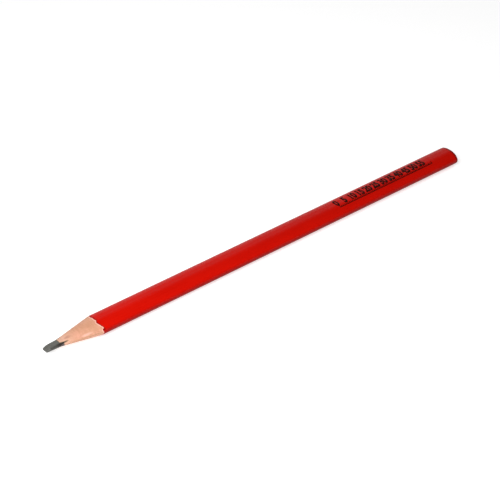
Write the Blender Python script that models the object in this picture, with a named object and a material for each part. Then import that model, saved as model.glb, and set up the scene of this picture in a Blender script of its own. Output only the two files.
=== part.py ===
"""An oval carpenter's pencil: a flat graphite lead glued into two grooved slats, lacquered and sharpened.

The pencil lies along X with its point at -X, and the origin is under its middle, on the surface that it lies
on. Sections are drawn across the pencil as (y, z) about its centre line, and distances along it are measured
from the tip of the lead. The base coat and the lacquer close over the rounded rear end.
"""

from math import atan2, cos, radians, sin, sqrt

import bmesh
import bpy
from mathutils import Matrix

# Driving dimensions, in metres.
LENGTH = 0.240
WIDTH = 0.0123
THICKNESS = 0.0073
FLAT_WIDTH = 0.002  # the narrow flats along the top and the bottom of the oval
CORE_WIDTH = 0.0045
CORE_THICKNESS = 0.0021
LACQUER_FILM = 0.00008
BASE_FILM = 0.00003
GLUE_FILM = 0.00006
INK_FILM = 0.00003
SEAM = 0.00002  # the clearance between two pieces that touch
OVAL_STEP = 5  # degrees between two points of the oval
REAR_ROUNDING = 0.0007
ROUNDING_STEPS = 6

# The cut surface left by sharpening. Its sections are ovals with eight ridges: one beside each side of the
# top and bottom facets (the shoulders), and one above and below each side facet (the flanks).
LEAD_END = 0.0070  # where the wood begins, above and below the lead
WOOD_STEP = 0.00015  # the wood's front edge stands out of the lead over this distance
CONE_START_HALF_WIDTH = 0.00232
CONE_START_HALF_HEIGHT = 0.00130
CONE_FULL_WIDTH = 0.0258  # the distance at which the cone is as wide as the pencil
CONE_FULL_HEIGHT = 0.0250  # the distance at which it is as high
CONE_STOP = 0.030
PAST_END = 0.005
CONE_SHOULDER = 69  # degrees
LEAD_SHOULDER = 51
FLANK = 15
CONE_FLATNESS = 0.20  # from 0, facets that bulge out to the oval, to 1, flat facets
LEAD_FLATNESS = 1.0
FACET_POINTS = 6

# The bare lead: distance from the tip, half width, half height, and height of the section's centre.
LEAD_STATIONS = (
    (0.0, 0.00160, 0.00026, -0.00046),
    (0.0003, 0.00185, 0.00041, -0.00042),
    (0.0020, 0.00212, 0.00106, -0.00010),
    (0.0036, 0.00220, 0.00124, -0.00004),
    (LEAD_END, 0.00230, 0.00140, 0.0),
)

# The printed millimetre scale: a base line along the near side of the upper face, with ticks across it.
SCALE_START = 0.1645
SCALE_MILLIMETRES = 60
MILLIMETRE = 0.001
BASE_LINE_Y = -0.0034
LINE_WIDTH = 0.00035
SHORT_TICK = 0.0010
LONG_TICK = 0.0014
LONG_TICK_EVERY = 5

# Insets from the pencil's outside, where each layer ends.
BASE_OUTSIDE = LACQUER_FILM + SEAM
BASE_INSIDE = BASE_OUTSIDE + BASE_FILM
WOOD_OUTSIDE = BASE_INSIDE + SEAM
GROOVE_GROWTH = SEAM + GLUE_FILM + SEAM
JOINT_HALF = GLUE_FILM / 2 + SEAM

# Local X, Y and Z of a piece drawn in section run along the world's Y, Z and X.
ACROSS = Matrix(((0, 0, 1, 0), (1, 0, 0, 0), (0, 1, 0, 0), (0, 0, 0, 1)))


def clear_scene():
    for old in list(bpy.data.objects):
        bpy.data.objects.remove(old)


def new_collection(name):
    made = bpy.data.collections.new(name)
    bpy.context.scene.collection.children.link(made)
    return made


def new_material(name, colour, roughness, coat=0.0):
    made = bpy.data.materials.new(name)
    made.use_nodes = True
    made.diffuse_color = (*colour, 1.0)
    shader = made.node_tree.nodes["Principled BSDF"]
    shader.inputs["Base Color"].default_value = (*colour, 1.0)
    shader.inputs["Roughness"].default_value = roughness
    shader.inputs["Coat Weight"].default_value = coat
    return made


def placed(distance):
    """The matrix of a piece drawn in section, centred at a distance from the tip."""
    return Matrix.Translation((distance - LENGTH / 2, 0, THICKNESS / 2)) @ ACROSS


def oval(inset):
    """The pencil's outline moved in by inset: an ellipse whose top and bottom are cut off flat."""
    half_width = WIDTH / 2 - inset
    flat_height = THICKNESS / 2 - inset
    half_flat = FLAT_WIDTH / 2
    full_height = flat_height / sqrt(1 - (half_flat / half_width) ** 2)
    points = [(y, z) for y in (-half_flat, half_flat) for z in (-flat_height, flat_height)]
    for step in range(360 // OVAL_STEP):
        angle = radians((step + 0.5) * OVAL_STEP)
        y = half_width * cos(angle)
        if abs(y) > half_flat:
            points.append((y, full_height * sin(angle)))
    return sorted(points, key=lambda point: atan2(point[1], point[0]))


def rectangle(low_y, high_y, low_z, high_z):
    return [(low_y, low_z), (high_y, low_z), (high_y, high_z), (low_y, high_z)]


def core_outline(growth=0.0):
    half_width = CORE_WIDTH / 2 + growth
    half_height = CORE_THICKNESS / 2 + growth
    return rectangle(-half_width, half_width, -half_height, half_height)


def slat_outline(side):
    """Half of the oval with half of the lead's groove in its joint face; side is 1 above, -1 below."""
    arc = [(y, z) for y, z in oval(0.0) if z > JOINT_HALF]
    arc.sort(key=lambda point: atan2(point[1], point[0]))
    edge = arc[0][0]
    groove_half = CORE_WIDTH / 2 + GROOVE_GROWTH
    groove_top = CORE_THICKNESS / 2 + GROOVE_GROWTH
    joint = [
        (-edge, JOINT_HALF),
        (-groove_half, JOINT_HALF),
        (-groove_half, groove_top),
        (groove_half, groove_top),
        (groove_half, JOINT_HALF),
        (edge, JOINT_HALF),
    ]
    return [(y, side * z) for y, z in arc + joint]


def glue_outline(side):
    """The glue film in the joint, from the groove out to the wood's edge; side is 1 at +Y, -1 at -Y."""
    inner = CORE_WIDTH / 2 + GROOVE_GROWTH + SEAM
    low, high = sorted((side * inner, side * WIDTH / 2))
    return rectangle(low, high, -GLUE_FILM / 2, GLUE_FILM / 2)


def scale_outline():
    """The comb of the printed scale, as (x, y) from its first tick: the base line, then the ticks."""
    half_line = LINE_WIDTH / 2
    end = SCALE_MILLIMETRES * MILLIMETRE
    points = [(-half_line, BASE_LINE_Y), (end + half_line, BASE_LINE_Y)]
    valley = BASE_LINE_Y + LINE_WIDTH
    for mark in range(SCALE_MILLIMETRES, -1, -1):
        x = mark * MILLIMETRE
        tick = SHORT_TICK if mark % LONG_TICK_EVERY else LONG_TICK
        if mark < SCALE_MILLIMETRES:
            points.append((x + half_line, valley))
        points.append((x + half_line, BASE_LINE_Y + tick))
        points.append((x - half_line, BASE_LINE_Y + tick))
        if mark > 0:
            points.append((x - half_line, valley))
    return points


def extruded(name, outlines, thickness, matrix, collection):
    """A closed solid of this thickness from flat outlines; an outline inside another one is a hole."""
    curve = bpy.data.curves.new(name, "CURVE")
    curve.dimensions = "2D"
    curve.fill_mode = "BOTH"
    curve.extrude = thickness / 2
    for outline in outlines:
        spline = curve.splines.new("POLY")
        spline.points.add(len(outline) - 1)
        for point, (u, v) in zip(spline.points, outline):
            point.co = (u, v, 0, 1)
        spline.use_cyclic_u = True
    drawn = bpy.data.objects.new(name + "_outline", curve)
    collection.objects.link(drawn)
    drawn.matrix_world = matrix
    bpy.context.view_layer.update()
    evaluated = drawn.evaluated_get(bpy.context.evaluated_depsgraph_get())
    mesh = bpy.data.meshes.new_from_object(evaluated)
    mesh.name = name
    bpy.data.objects.remove(drawn)
    bm = bmesh.new()
    bm.from_mesh(mesh)
    bmesh.ops.remove_doubles(bm, verts=bm.verts, dist=1e-7)
    bmesh.ops.recalc_face_normals(bm, faces=bm.faces)
    bm.to_mesh(mesh)
    bm.free()
    mesh.materials.clear()
    mesh.shade_smooth()
    mesh.set_sharp_from_angle(angle=radians(30))
    made = bpy.data.objects.new(name, mesh)
    made.matrix_world = matrix
    collection.objects.link(made)
    return made


def along(name, outlines, start, end, collection):
    """A prism along the pencil between two distances from the tip."""
    return extruded(name, outlines, end - start, placed((start + end) / 2), collection)


def cut_ring(distance, half_width, half_height, centre, shoulder, flatness):
    """One section of the cut surface, as local points, starting at the upper flank ridge at +Y."""
    quarter = [FLANK, shoulder, 180 - shoulder, 180 - FLANK]
    ridges = quarter + [180 + angle for angle in quarter] + [360 + FLANK]
    points = []
    for first, second in zip(ridges, ridges[1:]):
        for step in range(FACET_POINTS):
            part = step / FACET_POINTS
            angle = radians(first + (second - first) * part)
            blend = [
                cos(angle) * (1 - flatness)
                + (cos(radians(first)) * (1 - part) + cos(radians(second)) * part) * flatness,
                sin(angle) * (1 - flatness)
                + (sin(radians(first)) * (1 - part) + sin(radians(second)) * part) * flatness,
            ]
            points.append((half_width * blend[0], centre + half_height * blend[1], distance))
    return points


def cone_ring(distance):
    """A section of the wood's cone, whose width and height grow at their own steady rates."""
    start = LEAD_END + WOOD_STEP
    along_width = (distance - start) / (CONE_FULL_WIDTH - start)
    along_height = (distance - start) / (CONE_FULL_HEIGHT - start)
    half_width = CONE_START_HALF_WIDTH + (WIDTH / 2 - CONE_START_HALF_WIDTH) * along_width
    half_height = CONE_START_HALF_HEIGHT + (THICKNESS / 2 - CONE_START_HALF_HEIGHT) * along_height
    return cut_ring(distance, half_width, half_height, 0.0, CONE_SHOULDER, CONE_FLATNESS)


def lofted(name, rings, collection):
    """A closed solid through rings of local points, which are measured from the tip."""
    bm = bmesh.new()
    rows = [[bm.verts.new(point) for point in ring] for ring in rings]
    for front, back in zip(rows, rows[1:]):
        for index in range(len(front)):
            after = (index + 1) % len(front)
            bm.faces.new((front[index], front[after], back[after], back[index]))
    bm.faces.new(rows[0])
    bm.faces.new(rows[-1])
    bmesh.ops.recalc_face_normals(bm, faces=bm.faces)
    mesh = bpy.data.meshes.new(name)
    bm.to_mesh(mesh)
    bm.free()
    mesh.shade_smooth()
    mesh.set_sharp_from_angle(angle=radians(30))
    made = bpy.data.objects.new(name, mesh)
    made.matrix_world = placed(0)
    collection.objects.link(made)
    return made


def sharpened_form(collection):
    """All that sharpening leaves: the pencil is what the blank and this form have in common."""
    rings = [cut_ring(*station, LEAD_SHOULDER, LEAD_FLATNESS) for station in LEAD_STATIONS]
    rings += [cone_ring(LEAD_END + WOOD_STEP), cone_ring(CONE_STOP)]
    rings.append([(y, z, LENGTH + PAST_END) for y, z, _ in rings[-1]])
    return as_cutter(lofted("sharpened_form", rings, collection))


def rounded_bar(name, inset, start, collection):
    """The unsharpened pencil moved in by inset all round, from this distance to its rounded rear end."""
    radius = REAR_ROUNDING - inset
    rings = [[(y, z, start) for y, z in oval(inset)]]
    for step in range(ROUNDING_STEPS + 1):
        turn = radians(90 * step / ROUNDING_STEPS)
        distance = LENGTH - inset - radius * (1 - sin(turn))
        rings.append([(y, z, distance) for y, z in oval(inset + radius * (1 - cos(turn)))])
    return lofted(name, rings, collection)


def as_cutter(piece):
    piece.hide_render = True
    piece.display_type = "WIRE"
    return piece


def cut(piece, operation, form):
    modifier = piece.modifiers.new(form.name, "BOOLEAN")
    modifier.operation = operation
    modifier.solver = "EXACT"
    modifier.object = form


def finished(piece, material, holder):
    piece.data.materials.append(material)
    piece.parent = holder


def build():
    clear_scene()
    parts = new_collection("carpenter_pencil")
    cutters = new_collection("cutters")
    holder = bpy.data.objects.new("pencil_origin", None)
    parts.objects.link(holder)
    form = sharpened_form(cutters)

    wood = new_material("basswood", (0.72, 0.45, 0.27), 0.6)
    graphite = new_material("graphite", (0.12, 0.12, 0.115), 0.4)
    glue = new_material("wood_glue", (0.60, 0.47, 0.28), 0.5)
    filler = new_material("base_coat", (0.78, 0.60, 0.52), 0.6)
    lacquer = new_material("red_lacquer", (0.60, 0.006, 0.004), 0.25, coat=0.5)
    ink = new_material("black_ink", (0.012, 0.010, 0.010), 0.4)

    rear = LENGTH - WOOD_OUTSIDE
    core = along("graphite_core", [core_outline()], -PAST_END, rear, parts)
    cut(core, "INTERSECT", form)
    finished(core, graphite, holder)

    bar = as_cutter(rounded_bar("wood_bar", WOOD_OUTSIDE, 0.0, cutters))
    bedding = [core_outline(SEAM + GLUE_FILM), core_outline(SEAM)]
    in_bar = (
        ("upper_slat", [slat_outline(1)], LENGTH, wood),
        ("lower_slat", [slat_outline(-1)], LENGTH, wood),
        ("core_bedding", bedding, rear, glue),
        ("glue_line_left", [glue_outline(1)], rear, glue),
        ("glue_line_right", [glue_outline(-1)], rear, glue),
    )
    for name, outlines, end, material in in_bar:
        piece = along(name, outlines, LEAD_END, end, parts)
        if name != "core_bedding":
            cut(piece, "INTERSECT", bar)
        cut(piece, "INTERSECT", form)
        finished(piece, material, holder)

    films = (
        ("base_coat", BASE_OUTSIDE, BASE_INSIDE, filler),
        ("red_lacquer", 0.0, LACQUER_FILM, lacquer),
    )
    for name, outside, inside, material in films:
        piece = rounded_bar(name, outside, LEAD_END, parts)
        cut(piece, "DIFFERENCE", as_cutter(rounded_bar(name + "_hollow", inside, 0.0, cutters)))
        cut(piece, "INTERSECT", form)
        finished(piece, material, holder)

    comb_place = Matrix.Translation((SCALE_START - LENGTH / 2, 0, THICKNESS))
    comb = extruded("scale_comb", [scale_outline()], THICKNESS, comb_place, cutters)
    as_cutter(comb)
    print_ring = [oval(-SEAM - INK_FILM), oval(-SEAM)]
    print_start = SCALE_START - MILLIMETRE
    print_end = SCALE_START + (SCALE_MILLIMETRES + 1) * MILLIMETRE
    scale = along("scale_print", print_ring, print_start, print_end, parts)
    cut(scale, "INTERSECT", comb)
    finished(scale, ink, holder)


build()
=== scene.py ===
"""The looks of an oval carpenter's pencil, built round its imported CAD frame.

The pencil lies along X with its point at -X. Distances along it are measured from the tip of the lead, and a
section is drawn across it as (y, z) about its centre line. Lengths are in metres where a comment doesn't say
millimetres.
"""

from math import cos, pi, radians, sin, sqrt

import bmesh
import bpy
import numpy as np
from mathutils import Matrix, Vector, noise


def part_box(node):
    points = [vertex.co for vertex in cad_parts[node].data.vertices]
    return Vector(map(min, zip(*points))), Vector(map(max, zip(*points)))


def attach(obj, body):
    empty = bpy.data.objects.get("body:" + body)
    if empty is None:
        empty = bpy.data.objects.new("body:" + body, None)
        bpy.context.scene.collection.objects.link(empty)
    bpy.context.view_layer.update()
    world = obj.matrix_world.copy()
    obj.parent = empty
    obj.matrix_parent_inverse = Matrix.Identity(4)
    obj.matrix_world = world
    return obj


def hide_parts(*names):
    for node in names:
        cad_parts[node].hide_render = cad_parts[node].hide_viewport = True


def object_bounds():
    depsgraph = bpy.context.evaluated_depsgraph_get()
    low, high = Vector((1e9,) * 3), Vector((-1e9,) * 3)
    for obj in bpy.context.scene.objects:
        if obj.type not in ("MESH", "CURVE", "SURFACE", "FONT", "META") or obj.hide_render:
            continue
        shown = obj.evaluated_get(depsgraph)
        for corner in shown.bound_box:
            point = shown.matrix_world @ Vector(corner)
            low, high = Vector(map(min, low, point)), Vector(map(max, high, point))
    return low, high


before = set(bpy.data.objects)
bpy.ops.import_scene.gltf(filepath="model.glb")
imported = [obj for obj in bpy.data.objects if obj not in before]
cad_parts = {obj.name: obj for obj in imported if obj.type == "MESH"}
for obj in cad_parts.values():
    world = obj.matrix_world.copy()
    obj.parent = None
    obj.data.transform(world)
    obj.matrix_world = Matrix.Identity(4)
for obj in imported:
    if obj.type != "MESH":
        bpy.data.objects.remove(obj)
CAD_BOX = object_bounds()

MM = 0.001

# Sizes as in the CAD source.
SEAM = 0.02 * MM  # the clearance between two pieces that touch
BEDDING_FILM = 0.06 * MM  # the glue round the core
GLUE_HALF = 0.03 * MM  # half the thickness of the glue line between the slats
JOINT_HALF = GLUE_HALF + SEAM
HALF_FLAT = 1.0 * MM  # half the width of the narrow flats along the top and the bottom
REAR_ROUNDING = 0.7 * MM

# Sizes that the frame gives.
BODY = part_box("red_lacquer")
LENGTH = CAD_BOX[1].x - CAD_BOX[0].x
WIDTH = BODY[1].y - BODY[0].y
THICKNESS = BODY[1].z - BODY[0].z
BASE_OUTSIDE = BODY[1].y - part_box("base_coat")[1].y  # how far its outside lies in from the lacquer's
WOOD_OUTSIDE = BODY[1].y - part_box("upper_slat")[1].y
LEAD_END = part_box("upper_slat")[0].x - CAD_BOX[0].x  # where the bare lead ends and the wood begins
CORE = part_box("graphite_core")
CORE_HALF_WIDTH = (CORE[1].y - CORE[0].y) / 2
CORE_HALF_HEIGHT = (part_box("core_bedding")[1].z - THICKNESS / 2) - (BEDDING_FILM + SEAM)

# The cut surface left by sharpening, as in the CAD source. Its ridges are in degrees round from +Y.
WOOD_STEP = 0.15 * MM  # the distance over which the lead's section opens out to the wood's
CONE_START = (2.32 * MM, 1.30 * MM)  # half width and half height where the wood begins
CONE_FULL = (25.8 * MM, 25.0 * MM)  # the distances at which the cone is as wide and as high as the pencil
CONE_STOP = 30.0 * MM  # beyond the distance at which every column has met the outline
FLANK = 15  # the ridges beside the flank facets
CONE_SHOULDER = 69  # the ridges beside the top and bottom facets, on the wood
LEAD_SHOULDER = 51  # the same, on the lead
CONE_FLATNESS = 0.20  # 0 for a plain oval, 1 for flat facets
LEAD_FLATNESS = 1.0
FACET_COLUMNS = 36
RIDGE_SOFTENING = 2  # columns to each side of a ridge over which it is worn round
LEAD_STATIONS = (  # distance from the tip, half width, half height, height of the section's centre
    (0.0, 1.60 * MM, 0.26 * MM, -0.46 * MM),
    (0.3 * MM, 1.85 * MM, 0.41 * MM, -0.42 * MM),
    (2.0 * MM, 2.12 * MM, 1.06 * MM, -0.10 * MM),
    (3.6 * MM, 2.20 * MM, 1.24 * MM, -0.04 * MM),
    (LEAD_END, 2.30 * MM, 1.40 * MM, 0.0),
)

# How much later than an even cone the blade's strokes reach the paint: (degrees round from +Y, distance).
STROKE_LAG = (
    (0, 0.4 * MM),
    (15, 0.0),
    (54, 0.0),
    (75, 0.25 * MM),
    (90, 0.55 * MM),
    (107, 0.40 * MM),
    (111, 0.0),
    (121, -0.15 * MM),
    (132, -0.05 * MM),
    (141, 0.20 * MM),
    (150, 0.75 * MM),
    (156, 0.80 * MM),
    (159, 0.25 * MM),
    (174, 0.45 * MM),
    (195, 0.80 * MM),
    (200, 0.10 * MM),
    (225, -0.10 * MM),
    (247, 0.30 * MM),
    (251, 0.0),
    (270, 0.50 * MM),
    (288, 0.40 * MM),
    (292, 0.0),
    (320, 0.30 * MM),
    (342, 0.60 * MM),
    (346, 0.10 * MM),
)
LAG_START = 9.0 * MM  # the lag grows from nothing here
LAG_FULL = 22.0 * MM  # to all of it here

# How finely the pieces are divided, and how they are cut and shaded.
LEAD_ROWS = 90
WOOD_ROWS = 150
FILM_ROWS = 240
ROUNDING_STEPS = 8
HALVINGS = 40  # steps in the search for where the cone meets an outline
LEAD_RUN_ON = 5 * MM  # the lead is shaped this far beyond LEAD_END, where its corners still show
AHEAD = 1 * MM  # the core's bar starts this far ahead of the tip, and is then cut back
SHARP_DEGREES = 35  # an edge turning by more than this is shaded sharp
TINY = 1e-12  # keeps a division from zero
CORNERS = ((-1, -1), (1, -1), (1, 1), (-1, 1))

# Relief of the cut surface, in millimetres: feature size along X, Y and Z, and depth.
FRACTAL = (0.6, 2.1)  # how fast the noise's octaves weaken, and how much finer each one is
WOOD_FIBRES = ((5.0, 0.22, 0.22), 0.010)
WOOD_HOLLOWS = ((3.5, 1.6, 1.6), 0.022)
CHATTER_PITCH = 0.45
CHATTER_DEPTH = 0.003
CHATTER_WANDER = ((6, 2, 2), 3)  # the second is in radians of the chatter's wave
LEAD_SCRATCHES = ((2.5, 0.12, 0.12), 0.008)
LEAD_HOLLOWS = ((1.3, 0.7, 0.7), 0.020)

# The paint's cut edge.
PAINT_STEP = 0.15 * MM  # how far the lacquer's edge lies behind the base coat's
PAINT_RAGGEDNESS = 0.10 * MM
CHIPS_ROUND = 16  # how fine the broken edge is, in noise cells to each radius of the section

# The printed scale.
SCALE_START = 164.5 * MM  # the distance of its zero
SCALE_MILLIMETRES = 60
NUMERAL_EVERY = 5
NUMERAL_BASE_Y = -1.95 * MM
NUMERAL_HEIGHT = 4.4 * MM
NUMERAL_NARROWING = 0.70
NUMERAL_BOLDNESS = 0.30 * MM
DIGIT_OF_SIZE = 0.73  # a digit's height as a part of the font's size
FONT_RESOLUTION = 6  # with more points, the bold outline of a 3 folds over itself
WELD = 1e-6  # points nearer than this become one
SLICE = 0.25 * MM  # a numeral is cut across at this spacing, to bend over the oval
SLICE_BEYOND = 0.4 * MM  # and as far as this beyond its height, since it is bold
INK_LIFT = 0.002 * MM  # the underside's height above the lacquer
INK_FILM = 0.03 * MM  # the top's

# Where a material changes, in millimetres: along X, up Z, or as a distance from the middle in Y.
LEAD_END_X = LEAD_END / MM - LENGTH / MM / 2
REAR_X = LENGTH / MM / 2
# painted shade: the lacquer darkens over the roll of the rear rim, between these distances
PAINTED_RIM_SHADE_X = (REAR_X - 1.9, REAR_X - 1.0)
# painted shade: the lacquer is darkened towards its underside, below these heights
PAINTED_LACQUER_SHADE_Z = (5.3, 3.2)
PALE_WOOD_X = (LEAD_END_X, LEAD_END_X + 9)
SMUDGE_X = (LEAD_END_X, LEAD_END_X + 4.5)
# painted light: the wood is made paler towards its underside, below these heights
PAINTED_WOOD_LIGHT_Z = (1.0, 3.6)
# painted shade on the lead, on its flanks and in its seam with the wood, within these bounds
PAINTED_LEAD_SHADE_Z = (3.5, 4.3)
PAINTED_FLANK_SHADE_Y = (1.10, 1.75)
PAINTED_SEAM_SHADE_X = (LEAD_END_X - 2.6, LEAD_END_X + 0.2)
PAINTED_SEAM_SHADE_Y = (1.2, 1.9)

# Single marks, as Shader.patch takes them: centre and reach in millimetres, and strength.
SMEAR = ((7.4, -2.45, 0.0), (1.5, 1.1, 1.5), 2.2)  # graphite on the wood, at the lead's near lower corner
# a painted highlight on the wood's near side
PAINTED_HIGHLIGHT = ((19.0, -4.1, 1.1), (4.5, 1.1, 0.8), 0.38)  # a pale pink streak low on the near side
STAIN = ((11.0, -0.9, 1.75), (2.2, 1.1, 0.9), 1.0)  # brown fibres on top of the cone
BURR = ((9.6, -2.15, 1.0), (1.6, 0.5, 0.45), 1.5)  # a dark torn edge on the near shoulder
# painted shadow of the paint's thick edge at the near end of the cut
PAINTED_CUT_END_SHADOW = ((26.6, -5.75, 1.25), (0.9, 0.7, 0.8), 1.3)  # a dark spot in the lacquer at the near end of the cut

# Colours as linear red, green and blue. A pair holds the two that a surface drifts between.
LACQUER_REDS = ((0.480, 0.0036, 0.0008), (0.510, 0.0044, 0.0011))
# painted shade: the darker red for the lacquer's underside
PAINTED_LACQUER_SHADE_RED = (0.265, 0.0020, 0.0006)
# painted shade: the darker red for the roll of the rear rim
PAINTED_RIM_SHADE_RED = (0.240, 0.0024, 0.0012)
# painted shadow at the near end of the cut
PAINTED_CUT_END_SHADOW_RED = (0.14, 0.004, 0.002)
CUT_REDS = ((0.20, 0.003, 0.001), (0.34, 0.006, 0.003))
WOOD_TANS = ((0.50, 0.240, 0.140), (0.57, 0.300, 0.186))
WARP_PINK = (0.66, 0.315, 0.225)
BAND_TAN = (0.46, 0.218, 0.122)
FIBRE_TAN = (0.43, 0.205, 0.120)
PORE_BROWN = (0.24, 0.105, 0.060)
PALE_WOOD = (0.68, 0.42, 0.32)
SMUDGE_GREY = (0.30, 0.20, 0.16)
# painted light on the wood's underside
PAINTED_WOOD_LIGHT = (0.68, 0.41, 0.30)
# painted highlight
PAINTED_HIGHLIGHT_PINK = (0.84, 0.52, 0.46)
STAIN_BROWN = (0.37, 0.18, 0.13)
BURR_BROWN = (0.13, 0.050, 0.026)
SMEAR_GREY = (0.085, 0.066, 0.064)
GRAPHITE_GREYS = ((0.066, 0.065, 0.058), (0.101, 0.100, 0.089))
PATCH_GREY = (0.122, 0.121, 0.108)
GRAIN_GREY = (0.142, 0.141, 0.126)
# painted shade on the lead's flanks and in its seam with the wood
PAINTED_FLANK_SHADE_GREY = (0.034, 0.032, 0.028)
PAINTED_SEAM_SHADE_BROWN = (0.016, 0.009, 0.006)
GLUE_TANS = ((0.34, 0.20, 0.10), (0.50, 0.33, 0.18))
BASE_COAT_PINKS = ((0.62, 0.30, 0.23), (0.80, 0.44, 0.34))
INK_BLACKS = ((0.024, 0.003, 0.002), (0.055, 0.005, 0.003))
FLOOR_WHITES = ((0.64, 0.64, 0.64), (0.66, 0.66, 0.66))

# The studio: a pale floor, a soft key light aimed at the origin, and a pale wall. Angles are in degrees.
FLOOR_HALF = 3.0
FLOOR_GLOW = 0.62
KEY_PLACE = (-0.31, -0.165, 0.345)
KEY_SIZE = 0.40
KEY_POWER = 3.40
WALL_DIRECTION = (0.50, 0.76, 0.34)
WALL_REACH = 42  # the wall has faded out this far from its middle
WALL_CORE = 10  # and is at its brightest nearer than this
WALL_STRENGTH = 1.2
WORLD_STRENGTH = 0.12

# The camera, at the photograph's viewing angle. It aims at the pencil's middle, then moves right and up
# without turning, to frame the pencil.
CAMERA_AZIMUTH = 39.94
CAMERA_ELEVATION = 35.0
CAMERA_DISTANCE = 0.76515
CAMERA_RIGHT = -0.0061450
CAMERA_UP = -0.0024740
CAMERA_LENS = 121.06  # in millimetres, on a sensor 36 wide
CAMERA_SENSOR = 36
CAMERA_CLIP = (0.01, 20)


# ---------------------------------------------------------------- shapes


def to_world(distance, y, z):
    """Stacks a distance from the tip and a section point about the centre line into row-frame points."""
    return np.stack(np.broadcast_arrays(distance - LENGTH / 2, y, z + THICKNESS / 2), axis=-1)


def full_height(inset):
    """The half height of the ellipse whose flattened form is the outline moved in by inset."""
    return (THICKNESS / 2 - inset) / sqrt(1 - (HALF_FLAT / (WIDTH / 2 - inset)) ** 2)


def oval(angles, inset):
    """The pencil's outline moved in by inset, at these ellipse angles, with its flat top and bottom."""
    flat_height = THICKNESS / 2 - inset
    height = np.clip(full_height(inset) * np.sin(angles), -flat_height, flat_height)
    return (WIDTH / 2 - inset) * np.cos(angles), height


def softened(values, reach):
    """A closed ring of values, each averaged with its neighbours out to reach."""
    total = sum(np.roll(values, step) for step in range(-reach, reach + 1))
    return total / (2 * reach + 1)


def unit_ring(shoulder, flatness):
    """An oval section of half width and half height 1 with eight facets, from the upper flank ridge round."""
    quarter = [FLANK, shoulder, 180 - shoulder, 180 - FLANK]
    ridges = quarter + [180 + angle for angle in quarter] + [360 + FLANK]
    part = np.arange(FACET_COLUMNS) / FACET_COLUMNS
    across, up = [], []
    for ends in zip(ridges, ridges[1:]):
        angle = np.radians(ends[0] + (ends[1] - ends[0]) * part)
        for values, curve in ((across, np.cos), (up, np.sin)):
            flat = np.interp(part, [0, 1], curve(np.radians(ends)))
            values.append(curve(angle) * (1 - flatness) + flat * flatness)
    return [softened(np.concatenate(values), RIDGE_SOFTENING) for values in (across, up)]


LEAD_RING = unit_ring(LEAD_SHOULDER, LEAD_FLATNESS)
CONE_RING = unit_ring(CONE_SHOULDER, CONE_FLATNESS)
RING_DEGREES = np.degrees(np.arctan2(CONE_RING[1], CONE_RING[0])) % 360
LAG = np.interp(RING_DEGREES, *np.array(STROKE_LAG).T, period=360)


def cone_section(distance):
    """The (y, z) of every column of the wood's cone, at one distance from the tip or one for each column."""
    part = np.clip((distance - LAG_START) / (LAG_FULL - LAG_START), 0, 1)
    distance = distance - LAG * part * part * (3 - 2 * part)
    start = LEAD_END + WOOD_STEP
    wide = CONE_START[0] + (WIDTH / 2 - CONE_START[0]) * (distance - start) / (CONE_FULL[0] - start)
    high = CONE_START[1] + (THICKNESS / 2 - CONE_START[1]) * (distance - start) / (CONE_FULL[1] - start)
    return wide * CONE_RING[0], high * CONE_RING[1]


def cut_section(distance):
    """The (y, z) of every column of the cut surface at one distance from the tip."""
    if distance >= LEAD_END + WOOD_STEP:
        return cone_section(distance)
    stations = np.array(LEAD_STATIONS).T
    wide, high, centre = (np.interp(distance, stations[0], row) for row in stations[1:])
    lead_y, lead_z = wide * LEAD_RING[0], centre + high * LEAD_RING[1]
    part = max(0.0, (distance - LEAD_END) / WOOD_STEP)
    y, z = cone_section(LEAD_END + WOOD_STEP)
    return lead_y + (y - lead_y) * part, lead_z + (z - lead_z) * part


def cone_end(inset):
    """Where each column of the cone meets the outline moved in by inset: its distance and its oval angle."""
    near, far = np.full(len(LAG), LEAD_END + WOOD_STEP), np.full(len(LAG), CONE_STOP)
    half_width, half_height = WIDTH / 2 - inset, full_height(inset)
    for _ in range(HALVINGS):
        middle = (near + far) / 2
        y, z = cone_section(middle)
        within = (np.hypot(y / half_width, z / half_height) < 1) & (abs(z) < THICKNESS / 2 - inset)
        near, far = np.where(within, middle, near), np.where(within, far, middle)
    y, z = cone_section(far)
    side = np.sqrt(np.maximum(0, 1 - (y / half_width) ** 2)) * np.sign(z)
    return far, np.arctan2(side, y / half_width)


def rear_rings(angles, inset):
    """The rings of the rounded rear end, for the outline moved in by inset."""
    radius = REAR_ROUNDING - inset
    rings = []
    for turn in np.radians(np.linspace(0, 90, ROUNDING_STEPS + 1)):
        distance = LENGTH - inset - radius * (1 - sin(turn))
        rings.append(to_world(distance, *oval(angles, inset + radius * (1 - cos(turn)))))
    return rings


def outward(grid):
    """Unit normals of a grid of points whose rows run along the pencil and whose columns close round it."""
    along = np.gradient(grid, axis=0)
    around = np.roll(grid, -1, axis=1) - np.roll(grid, 1, axis=1)
    normals = np.cross(around, along)
    return normals / np.maximum(np.linalg.norm(normals, axis=-1, keepdims=True), TINY)


def relief(grid, size, depth, detail=1):
    """Noise from -depth to depth at each grid point; its feature size along X, Y and Z is in millimetres."""
    flat = grid.reshape(-1, 3) / (np.array(size) * MM)
    values = [noise.fractal(Vector(point), *FRACTAL, detail) for point in flat]
    return np.clip(np.array(values).reshape(grid.shape[:-1]), -1, 1) * depth


def placed(name, data):
    """A new object in the scene."""
    made = bpy.data.objects.new(name, data)
    bpy.context.scene.collection.objects.link(made)
    return made


def evaluated_mesh(thing):
    """A mesh of the object as its modifiers or its text make it."""
    bpy.context.view_layer.update()
    return bpy.data.meshes.new_from_object(thing.evaluated_get(bpy.context.evaluated_depsgraph_get()))


def shade(mesh):
    mesh.shade_smooth()
    mesh.set_sharp_from_angle(angle=radians(SHARP_DEGREES))


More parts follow.
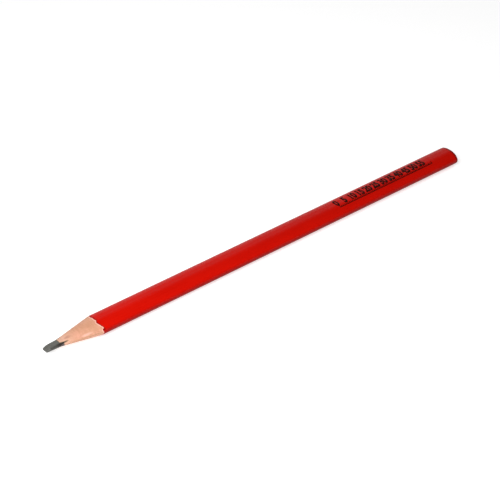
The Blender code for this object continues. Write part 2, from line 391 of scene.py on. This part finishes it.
def mesh_object(name, points, faces, material):
    """A smoothly shaded piece whose faces are turned outward."""
    mesh = bpy.data.meshes.new(name)
    mesh.from_pydata([tuple(point) for point in points], [], faces)
    bm = bmesh.new()
    bm.from_mesh(mesh)
    bmesh.ops.recalc_face_normals(bm, faces=bm.faces)
    bm.to_mesh(mesh)
    bm.free()
    shade(mesh)
    if material:
        mesh.materials.append(material)
    return placed(name, mesh)


def ring_faces(rows, columns, closed_rows=False):
    """Quads of a grid that closes round its columns, and round its rows too if asked."""
    faces = []
    for row in range(rows if closed_rows else rows - 1):
        below, above = row * columns, (row + 1) % rows * columns
        for column in range(columns):
            after = (column + 1) % columns
            faces.append((below + column, below + after, above + after, above + column))
    return faces


def lofted(name, grid, material=None):
    """A closed solid from a grid of rings, with an end face on the first and the last."""
    rows, columns = grid.shape[:2]
    faces = ring_faces(rows, columns)
    faces.append(tuple(range(columns)))
    faces.append(tuple((rows - 1) * columns + column for column in range(columns)))
    return mesh_object(name, grid.reshape(-1, 3), faces, material)


def prism(name, outline, start, end, material):
    """A bar along the pencil from a (y, z) outline, between two distances from the tip."""
    y, z = np.array(outline).T
    return lofted(name, np.stack([to_world(start, y, z), to_world(end, y, z)]), material)


def rectangle(half_width, half_height):
    return [(y * half_width, z * half_height) for y, z in CORNERS]


def cut_down(piece, form):
    """Leaves of the piece what it shares with the form."""
    modifier = piece.modifiers.new("cut", "BOOLEAN")
    modifier.operation = "INTERSECT"
    modifier.solver = "MANIFOLD"
    modifier.object = form
    mesh = evaluated_mesh(piece)
    piece.modifiers.clear()
    piece.data = mesh
    shade(mesh)


def as_sharpened(name, cut_rings, plain_rings, depth):
    """A closed solid from rings of the cut surface, with relief, then rings that are left as they are."""
    grid = np.stack(cut_rings)
    grid = grid + outward(grid) * depth(grid)[..., None]
    return lofted(name, np.concatenate([grid, np.stack(plain_rings)]))


# ---------------------------------------------------------------- materials


class Shader:
    """A node material: nodes are added by kind and joined by name."""

    def __init__(self, name):
        self.material = bpy.data.materials.new(name)
        self.material.use_nodes = True
        self.tree = self.material.node_tree
        self.principled = self.tree.nodes["Principled BSDF"]
        self.place = self.add("TexCoord").outputs["Object"]

    def add(self, kind, settings=None, **sockets):
        made = self.tree.nodes.new("ShaderNode" + kind)
        for setting, value in (settings or {}).items():
            setattr(made, setting, value)
        for name, value in sockets.items():
            self.put(made.inputs[name.replace("_", " ")], value)
        return made

    def put(self, socket, value):
        if isinstance(value, bpy.types.NodeSocket):
            self.tree.links.new(value, socket)
        else:
            socket.default_value = value

    def set(self, **sockets):
        for name, value in sockets.items():
            self.put(self.principled.inputs[name.replace("_", " ")], value)

    def coordinate(self, axis):
        """The object X, Y or Z in millimetres."""
        parts = self.add("SeparateXYZ", Vector=self.place)
        return self.math("DIVIDE", parts.outputs[axis], MM)

    def rising(self, value, start, end, low=0.0, high=1.0):
        """Low where the value is at start, high where it is at end, held beyond them and smooth between."""
        made = self.add("MapRange", {"interpolation_type": "SMOOTHSTEP"}, Value=value)
        for name, number in (("From Min", start), ("From Max", end), ("To Min", low), ("To Max", high)):
            made.inputs[name].default_value = number
        return made.outputs["Result"]

    def patch(self, centre, reach, strength):
        """The strength within a fifth of the reach from the centre, fading to 0 at the reach.

        The centre is (distance, y, z) and the reach is along X, Y and Z, both in millimetres.
        """
        place = Vector(to_world(*np.array(centre) * MM))
        away = self.add("VectorMath", {"operation": "SUBTRACT"})
        self.put(away.inputs[0], self.place)
        self.put(away.inputs[1], place)
        scaled = self.add("VectorMath", {"operation": "DIVIDE"})
        self.put(scaled.inputs[0], away.outputs["Vector"])
        self.put(scaled.inputs[1], Vector(reach) * MM)
        length = self.add("VectorMath", {"operation": "LENGTH"})
        self.put(length.inputs[0], scaled.outputs["Vector"])
        return self.rising(length.outputs["Value"], 1.0, 0.2, 0.0, strength)

    def stretched(self, along, across, up=None):
        """Object coordinates divided by a feature size in millimetres along X, Y and Z."""
        sizes = (along, across, up or across)
        scale = tuple(1 / (size * MM) for size in sizes)
        return self.add("Mapping", Vector=self.place, Scale=scale).outputs["Vector"]

    def noise(self, vector, detail=2.0, roughness=0.5, distortion=0.0):
        made = self.add("TexNoise", Vector=vector, Scale=1.0, Detail=detail)
        made.inputs["Roughness"].default_value = roughness
        made.inputs["Distortion"].default_value = distortion
        return made.outputs["Fac"]

    def ramp(self, factor, *ends):
        """Straight from one (position, value) to the other as the factor rises, and held beyond them."""
        made = self.add("ValToRGB", Fac=factor)
        for element, (position, value) in zip(made.color_ramp.elements, ends):
            element.position = position
            element.color = (value, value, value, 1)
        return made.outputs["Color"]

    def mix(self, factor, first, second):
        made = self.add("Mix", {"data_type": "RGBA"})
        self.put(made.inputs[0], factor)
        for socket, value in ((made.inputs[6], first), (made.inputs[7], second)):
            self.put(socket, (*value, 1) if isinstance(value, tuple) else value)
        return made.outputs[2]

    def math(self, operation, first, second=0.0):
        made = self.add("Math", {"operation": operation})
        self.put(made.inputs[0], first)
        self.put(made.inputs[1], second)
        return made.outputs[0]

    def bump(self, height, strength, distance, normal=None):
        made = self.add("Bump", Height=height, Strength=strength, Distance=distance)
        if normal:
            self.put(made.inputs["Normal"], normal)
        return made.outputs["Normal"]


def lacquer_material():
    """Dipped gloss lacquer: drawn streaks, slight orange peel, painted shade towards the underside, a painted
    shadow at the near end of the cut, and painted shade darkening the roll at the rear rim.
    """
    shader = Shader("red_lacquer_look")
    streaks = shader.noise(shader.stretched(30, 0.8), 3.0)
    clouds = shader.noise(shader.stretched(14, 5), 2.0)
    tone = shader.mix(shader.ramp(clouds, (0.3, 0.0), (0.7, 1.0)), *LACQUER_REDS)
    # painted shade: the lacquer darkens towards its underside
    low = shader.rising(shader.coordinate("Z"), *PAINTED_LACQUER_SHADE_Z)
    tone = shader.mix(low, tone, PAINTED_LACQUER_SHADE_RED)
    # painted shadow at the near end of the cut
    tone = shader.mix(shader.patch(*PAINTED_CUT_END_SHADOW), tone, PAINTED_CUT_END_SHADOW_RED)
    # painted shade on the roll of the rear rim
    painted_rim_shade = shader.rising(shader.coordinate("X"), *PAINTED_RIM_SHADE_X)
    tone = shader.mix(painted_rim_shade, tone, PAINTED_RIM_SHADE_RED)
    orange_peel = shader.noise(shader.stretched(1.6, 0.9), 2.0)
    normal = shader.bump(orange_peel, 0.06, 0.05 * MM)
    normal = shader.bump(streaks, 0.05, 0.05 * MM, normal)
    shader.set(Base_Color=tone, Roughness=shader.ramp(streaks, (0.3, 0.24), (0.7, 0.34)), Normal=normal)
    shader.set(IOR=1.09, Coat_Weight=0.08, Coat_Roughness=0.10)
    return shader.material


def cut_lacquer_material():
    shader = Shader("cut_lacquer_look")
    cloud = shader.noise(shader.stretched(0.6, 0.4), 2.0)
    tone = shader.mix(cloud, *CUT_REDS)
    shader.set(Base_Color=tone, Roughness=0.6, IOR=1.2, Normal=shader.bump(cloud, 0.2, 0.01 * MM))
    return shader.material


def wood_material():
    """Sharpened basswood: tan and pink along the grain, cutter bands, paler and smudged at the lead, with
    painted light on its underside and a painted highlight low on the near side.
    """
    shader = Shader("basswood_look")
    along = shader.coordinate("X")
    warp = shader.noise(shader.stretched(5, 2.2), 2.0)
    rings = shader.noise(shader.stretched(26, 0.55, 0.35), 3.0, 0.55, 0.6)
    fibres = shader.noise(shader.stretched(3.0, 0.09), 3.0, 0.6)
    bands = shader.noise(shader.stretched(0.9, 3.5), 2.0)
    pores = shader.noise(shader.stretched(0.7, 0.08), 1.0)
    tone = shader.mix(shader.ramp(rings, (0.32, 0.0), (0.68, 1.0)), *WOOD_TANS)
    tone = shader.mix(shader.ramp(warp, (0.38, 0.0), (0.68, 0.6)), tone, WARP_PINK)
    tone = shader.mix(shader.ramp(bands, (0.40, 0.55), (0.62, 0.0)), tone, BAND_TAN)
    tone = shader.mix(shader.ramp(fibres, (0.35, 0.35), (0.65, 0.0)), tone, FIBRE_TAN)
    tone = shader.mix(shader.ramp(pores, (0.66, 0.0), (0.76, 0.55)), tone, PORE_BROWN)
    tone = shader.mix(shader.rising(along, *PALE_WOOD_X, 0.55, 0.0), tone, PALE_WOOD)
    smudge = shader.rising(along, *SMUDGE_X, 1.0, 0.0)
    smudge = shader.math("MULTIPLY", smudge, shader.ramp(fibres, (0.42, 0.0), (0.60, 0.55)))
    tone = shader.mix(smudge, tone, SMUDGE_GREY)
    # painted light: paler towards the underside
    low = shader.rising(shader.coordinate("Z"), *PAINTED_WOOD_LIGHT_Z, 0.55, 0.0)
    tone = shader.mix(low, tone, PAINTED_WOOD_LIGHT)
    # a painted highlight: a pale pink streak low on the near side
    tone = shader.mix(shader.patch(*PAINTED_HIGHLIGHT), tone, PAINTED_HIGHLIGHT_PINK)
    stain = shader.math("MULTIPLY", shader.patch(*STAIN), shader.ramp(fibres, (0.40, 0.30), (0.60, 1.0)))
    tone = shader.mix(stain, tone, STAIN_BROWN)
    tone = shader.mix(shader.patch(*BURR), tone, BURR_BROWN)
    tone = shader.mix(shader.patch(*SMEAR), tone, SMEAR_GREY)
    normal = shader.bump(fibres, 0.35, 0.03 * MM)
    normal = shader.bump(bands, 0.25, 0.05 * MM, normal)
    shader.set(Base_Color=tone, Roughness=shader.ramp(fibres, (0.3, 0.42), (0.7, 0.60)), Normal=normal)
    shader.set(IOR=1.4)
    return shader.material


def graphite_material():
    """Worn graphite: painted shade on the flanks, which leaves the top paler, and painted shade darkening a
    seam where it meets the wood.
    """
    shader = Shader("graphite_look")
    across = shader.math("ABSOLUTE", shader.coordinate("Y"))
    # the painted shade below is half as strong low on the lead
    shoulder = shader.rising(shader.coordinate("Z"), *PAINTED_LEAD_SHADE_Z, 0.5, 1.0)
    scratches = shader.noise(shader.stretched(5.0, 0.06), 2.0, 0.6)
    grains = shader.noise(shader.stretched(0.18, 0.18), 2.0)
    patches = shader.noise(shader.stretched(1.2, 0.8), 2.0)
    tone = shader.mix(shader.ramp(scratches, (0.35, 0.0), (0.65, 1.0)), *GRAPHITE_GREYS)
    tone = shader.mix(shader.ramp(patches, (0.40, 0.0), (0.62, 0.5)), tone, PATCH_GREY)
    tone = shader.mix(shader.ramp(grains, (0.60, 0.0), (0.75, 0.6)), tone, GRAIN_GREY)
    # painted shade on the lead's flanks
    painted_flank_shade = shader.math("MULTIPLY", shader.rising(across, *PAINTED_FLANK_SHADE_Y, 0.0, 0.85), shoulder)
    tone = shader.mix(painted_flank_shade, tone, PAINTED_FLANK_SHADE_GREY)
    # painted shade in the seam where the lead meets the wood
    painted_seam_shade = shader.rising(shader.coordinate("X"), *PAINTED_SEAM_SHADE_X)
    painted_seam_shade = shader.math("MULTIPLY", painted_seam_shade, shader.rising(across, *PAINTED_SEAM_SHADE_Y))
    painted_seam_shade = shader.math("MULTIPLY", painted_seam_shade, shoulder)
    tone = shader.mix(painted_seam_shade, tone, PAINTED_SEAM_SHADE_BROWN)
    normal = shader.bump(scratches, 0.3, 0.02 * MM)
    shader.set(Base_Color=tone, Metallic=0.15, Normal=normal)
    shader.set(Roughness=shader.ramp(grains, (0.3, 0.46), (0.7, 0.60)), IOR=1.4)
    return shader.material


def glue_material():
    shader = Shader("wood_glue_look")
    cloud = shader.noise(shader.stretched(2.0, 0.3), 2.0)
    tone = shader.mix(cloud, *GLUE_TANS)
    tone = shader.mix(shader.patch(*SMEAR), tone, SMEAR_GREY)
    shader.set(Base_Color=tone, Roughness=0.5, IOR=1.4, Normal=shader.bump(cloud, 0.2, 0.01 * MM))
    return shader.material


def base_coat_material():
    shader = Shader("base_coat_look")
    cloud = shader.noise(shader.stretched(0.8, 0.3), 3.0)
    tone = shader.mix(cloud, *BASE_COAT_PINKS)
    shader.set(Base_Color=tone, Roughness=0.6, IOR=1.4, Normal=shader.bump(cloud, 0.2, 0.01 * MM))
    return shader.material


def ink_material():
    shader = Shader("black_ink_look")
    cloud = shader.noise(shader.stretched(0.5, 0.5), 3.0)
    tone = shader.mix(shader.ramp(cloud, (0.45, 0.0), (0.75, 1.0)), *INK_BLACKS)
    shader.set(Base_Color=tone, Roughness=shader.ramp(cloud, (0.3, 0.34), (0.7, 0.50)), IOR=1.07)
    shader.set(Normal=shader.bump(cloud, 0.1, 0.01 * MM))
    return shader.material


def floor_material():
    shader = Shader("pale_floor_look")
    cloud = shader.noise(shader.stretched(400, 400), 1.0)
    tone = shader.mix(cloud, *FLOOR_WHITES)
    shader.set(Base_Color=tone, Roughness=0.9)
    shader.set(Emission_Color=(1, 1, 1, 1), Emission_Strength=FLOOR_GLOW)
    return shader.material


LACQUER = lacquer_material()
CUT_LACQUER = cut_lacquer_material()
WOOD = wood_material()
GRAPHITE = graphite_material()
GLUE = glue_material()
BASE_COAT = base_coat_material()
INK = ink_material()


# ---------------------------------------------------------------- pieces


def wood_depth(grid):
    """Fibres along the pencil, faint cutter chatter across it and slow hollows, in metres outward."""
    fibres = relief(grid, *WOOD_FIBRES, detail=2)
    hollows = relief(grid, *WOOD_HOLLOWS)
    wave = grid[..., 0] / (CHATTER_PITCH * MM) * 2 * pi + relief(grid, *CHATTER_WANDER)
    return (fibres + hollows + np.sin(wave) * CHATTER_DEPTH) * MM


def lead_depth(grid):
    """Scratches along the lead and slow hollows, in metres outward."""
    return (relief(grid, *LEAD_SCRATCHES, detail=2) + relief(grid, *LEAD_HOLLOWS)) * MM


def slat_outline(side):
    """A half plane with half of the lead's groove in its joint face; side is 1 above, -1 below."""
    groove_half = CORE_HALF_WIDTH + BEDDING_FILM + 2 * SEAM
    groove_top = CORE_HALF_HEIGHT + BEDDING_FILM + 2 * SEAM
    outline = [
        (WIDTH, THICKNESS),
        (-WIDTH, THICKNESS),
        (-WIDTH, JOINT_HALF),
        (-groove_half, JOINT_HALF),
        (-groove_half, groove_top),
        (groove_half, groove_top),
        (groove_half, JOINT_HALF),
        (WIDTH, JOINT_HALF),
    ]
    return [(y, side * z) for y, z in outline[::side]]


def make_wood():
    ends, angles = cone_end(WOOD_OUTSIDE)
    start = LEAD_END + WOOD_STEP
    rings = [to_world(LEAD_END, *cut_section(LEAD_END)), to_world(start, *cone_section(start))]
    for part in np.linspace(0, 1, WOOD_ROWS)[1:]:
        distances = start + (ends - start) * part
        rings.append(to_world(distances, *cone_section(distances)))
    form = as_sharpened("wood_form", rings, rear_rings(angles, WOOD_OUTSIDE), wood_depth)
    for side, node in ((1, "upper_slat"), (-1, "lower_slat")):
        piece = prism(node + "_wood", slat_outline(side), LEAD_END + SEAM, LENGTH, WOOD)
        cut_down(piece, form)
        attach(piece, "root")
        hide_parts(node)
    bpy.data.objects.remove(form)


def make_lead():
    distances = np.linspace(0, LEAD_END + LEAD_RUN_ON, LEAD_ROWS)
    rings = [to_world(distance, *cut_section(distance)) for distance in distances]
    tail = [rings[-1] + np.array((LENGTH, 0, 0))]
    form = as_sharpened("lead_form", rings, tail, lead_depth)
    outline = rectangle(CORE_HALF_WIDTH, CORE_HALF_HEIGHT)
    rear = CORE[1].x + LENGTH / 2
    piece = prism("graphite_lead", outline, -AHEAD, rear, GRAPHITE)
    cut_down(piece, form)
    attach(piece, "root")
    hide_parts("graphite_core")
    bpy.data.objects.remove(form)


def film(name, outer_inset, inner_inset, recession, material, cut_material=None):
    """A film round the pencil, from behind the cone's cut to a closed, rounded rear end."""
    outer_ends, outer_angles = cone_end(outer_inset)
    inner_ends, inner_angles = cone_end(inner_inset)
    start, end = outer_ends + recession, LENGTH - REAR_ROUNDING
    y, z = oval(outer_angles, outer_inset)
    rings = [to_world(start + (end - start) * part, y, z) for part in np.linspace(0, 1, FILM_ROWS)[:-1]]
    rings += rear_rings(outer_angles, outer_inset)
    outer_count = len(rings)
    rings += rear_rings(inner_angles, inner_inset)[::-1]
    rings.append(to_world(inner_ends + recession, *oval(inner_angles, inner_inset)))
    columns = len(outer_ends)
    faces = ring_faces(len(rings), columns, closed_rows=True)
    bridge = slice((outer_count - 1) * columns, outer_count * columns)
    faces[bridge] = [  # the two end faces, where the rings turn from outside to inside
        tuple((outer_count - 1) * columns + column for column in range(columns)),
        tuple(outer_count * columns + column for column in reversed(range(columns))),
    ]
    piece = mesh_object(name, np.concatenate(rings), faces, material)
    if cut_material:
        piece.data.materials.append(cut_material)
        for face in piece.data.polygons[-columns:]:
            face.material_index = 1
    return piece


def paint_chips():
    """How far back from the cut the paint's edge has broken, for each column."""
    ring = np.stack([*CONE_RING, np.zeros(len(LAG))], axis=-1) * CHIPS_ROUND
    return PAINT_RAGGEDNESS * np.array([abs(noise.noise(Vector(point))) for point in ring])


def make_films():
    recession = PAINT_STEP + paint_chips()
    shell = film("lacquer_shell", 0.0, BASE_OUTSIDE - SEAM, recession, LACQUER, CUT_LACQUER)
    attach(shell, "root")
    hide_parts("red_lacquer")
    coat = film("base_coat_film", BASE_OUTSIDE, WOOD_OUTSIDE - SEAM, 0.0, BASE_COAT)
    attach(coat, "root")
    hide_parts("base_coat")


def surface_height(y):
    """The lacquer's height above the floor at this distance from the centre line."""
    return min(THICKNESS / 2, full_height(0.0) * sqrt(1 - (y / (WIDTH / 2)) ** 2)) + THICKNESS / 2


def text_mesh(mark):
    """The mark's number in Blender's own font, flat, with its foot at Y = 0 and its middle at X = 0."""
    curve = bpy.data.curves.new(f"numeral_{mark}", "FONT")
    curve.body = str(mark)
    curve.align_x = "CENTER"
    curve.size = NUMERAL_HEIGHT / DIGIT_OF_SIZE
    curve.offset = NUMERAL_BOLDNESS
    curve.resolution_u = FONT_RESOLUTION
    text = placed("text", curve)
    mesh = evaluated_mesh(text)
    bpy.data.objects.remove(text)
    mesh.materials.clear()
    return mesh


def bend_over_oval(bm):
    """Slices a flat numeral across, thickens it to the ink's film and lays it on the lacquer."""
    for cut in np.arange(NUMERAL_BASE_Y, NUMERAL_BASE_Y + NUMERAL_HEIGHT + SLICE_BEYOND, SLICE):
        parts = bm.verts[:] + bm.edges[:] + bm.faces[:]
        bmesh.ops.bisect_plane(bm, geom=parts, plane_co=(0, cut, 0), plane_no=(0, 1, 0))
    raised = bmesh.ops.extrude_face_region(bm, geom=bm.faces[:])
    tops = {item for item in raised["geom"] if isinstance(item, bmesh.types.BMVert)}
    for vertex in bm.verts:
        vertex.co.z = surface_height(vertex.co.y) + (INK_FILM if vertex in tops else INK_LIFT)


def make_numerals():
    for mark in range(0, SCALE_MILLIMETRES, NUMERAL_EVERY):
        mesh = text_mesh(mark)
        place = (SCALE_START - LENGTH / 2 + mark * MM, NUMERAL_BASE_Y, 0)
        bm = bmesh.new()
        bm.from_mesh(mesh)
        bmesh.ops.remove_doubles(bm, verts=bm.verts, dist=WELD)
        bmesh.ops.scale(bm, vec=(NUMERAL_NARROWING, 1, 1), verts=bm.verts)
        bmesh.ops.translate(bm, vec=place, verts=bm.verts)
        bend_over_oval(bm)
        bmesh.ops.recalc_face_normals(bm, faces=bm.faces)
        bm.to_mesh(mesh)
        bm.free()
        mesh.materials.append(INK)
        piece = placed(f"numeral_{mark}", mesh)
        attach(piece, "root")


def dress_kept_nodes():
    """The glue films and the scale keep their CAD shapes and get their looks."""
    for node, material in (
        ("glue_line_left", GLUE),
        ("glue_line_right", GLUE),
        ("core_bedding", GLUE),
        ("scale_print", INK),
    ):
        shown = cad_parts[node]
        shown.data.materials.clear()
        shown.data.materials.append(material)


# ---------------------------------------------------------------- studio


def make_floor():
    mesh = bpy.data.meshes.new("floor")
    mesh.from_pydata([(x, y, 0) for x, y in rectangle(FLOOR_HALF, FLOOR_HALF)], [], [(0, 1, 2, 3)])
    mesh.materials.append(floor_material())
    placed("floor", mesh)


def make_key_light():
    data = bpy.data.lights.new("key", "AREA")
    data.shape = "DISK"
    data.size = KEY_SIZE
    data.energy = KEY_POWER
    lamp = placed("key", data)
    lamp.location = KEY_PLACE
    lamp.rotation_mode = "QUATERNION"
    lamp.rotation_quaternion = (-Vector(KEY_PLACE)).to_track_quat("-Z", "Y")


def make_world():
    """A dim studio with one broad pale wall behind the pencil, for its lacquer to mirror."""
    world = bpy.data.worlds.new("studio")
    world.use_nodes = True
    tree = world.node_tree
    place = tree.nodes.new("ShaderNodeTexCoord")
    facing = tree.nodes.new("ShaderNodeVectorMath")
    facing.operation = "DOT_PRODUCT"
    tree.links.new(place.outputs["Generated"], facing.inputs[0])
    facing.inputs[1].default_value = Vector(WALL_DIRECTION).normalized()
    glow = tree.nodes.new("ShaderNodeMapRange")
    glow.interpolation_type = "SMOOTHSTEP"
    tree.links.new(facing.outputs["Value"], glow.inputs["Value"])
    glow.inputs["From Min"].default_value = cos(radians(WALL_REACH))
    glow.inputs["From Max"].default_value = cos(radians(WALL_CORE))
    glow.inputs["To Min"].default_value = WORLD_STRENGTH
    glow.inputs["To Max"].default_value = WALL_STRENGTH
    tree.links.new(glow.outputs["Result"], tree.nodes["Background"].inputs["Strength"])
    tree.nodes["Background"].inputs["Color"].default_value = (1, 1, 1, 1)
    bpy.context.scene.world = world


def make_studio():
    make_floor()
    make_key_light()
    make_world()
    bpy.context.scene.view_settings.view_transform = "Standard"


def make_camera():
    azimuth, elevation = radians(CAMERA_AZIMUTH), radians(CAMERA_ELEVATION)
    ahead = Vector((sin(azimuth) * cos(elevation), cos(azimuth) * cos(elevation), -sin(elevation)))
    right = Vector((cos(azimuth), -sin(azimuth), 0))
    up = right.cross(ahead)
    target = Vector((0, 0, THICKNESS / 2))
    place = target - ahead * CAMERA_DISTANCE + right * CAMERA_RIGHT + up * CAMERA_UP
    data = bpy.data.cameras.new("camera")
    data.lens = CAMERA_LENS
    data.sensor_width = CAMERA_SENSOR
    data.clip_start, data.clip_end = CAMERA_CLIP
    camera = placed("camera", data)
    turn = Matrix((right, up, -ahead)).transposed().to_4x4()
    camera.matrix_world = Matrix.Translation(place) @ turn
    bpy.context.scene.camera = camera


make_wood()
make_lead()
make_films()
make_numerals()
dress_kept_nodes()
make_studio()
make_camera()
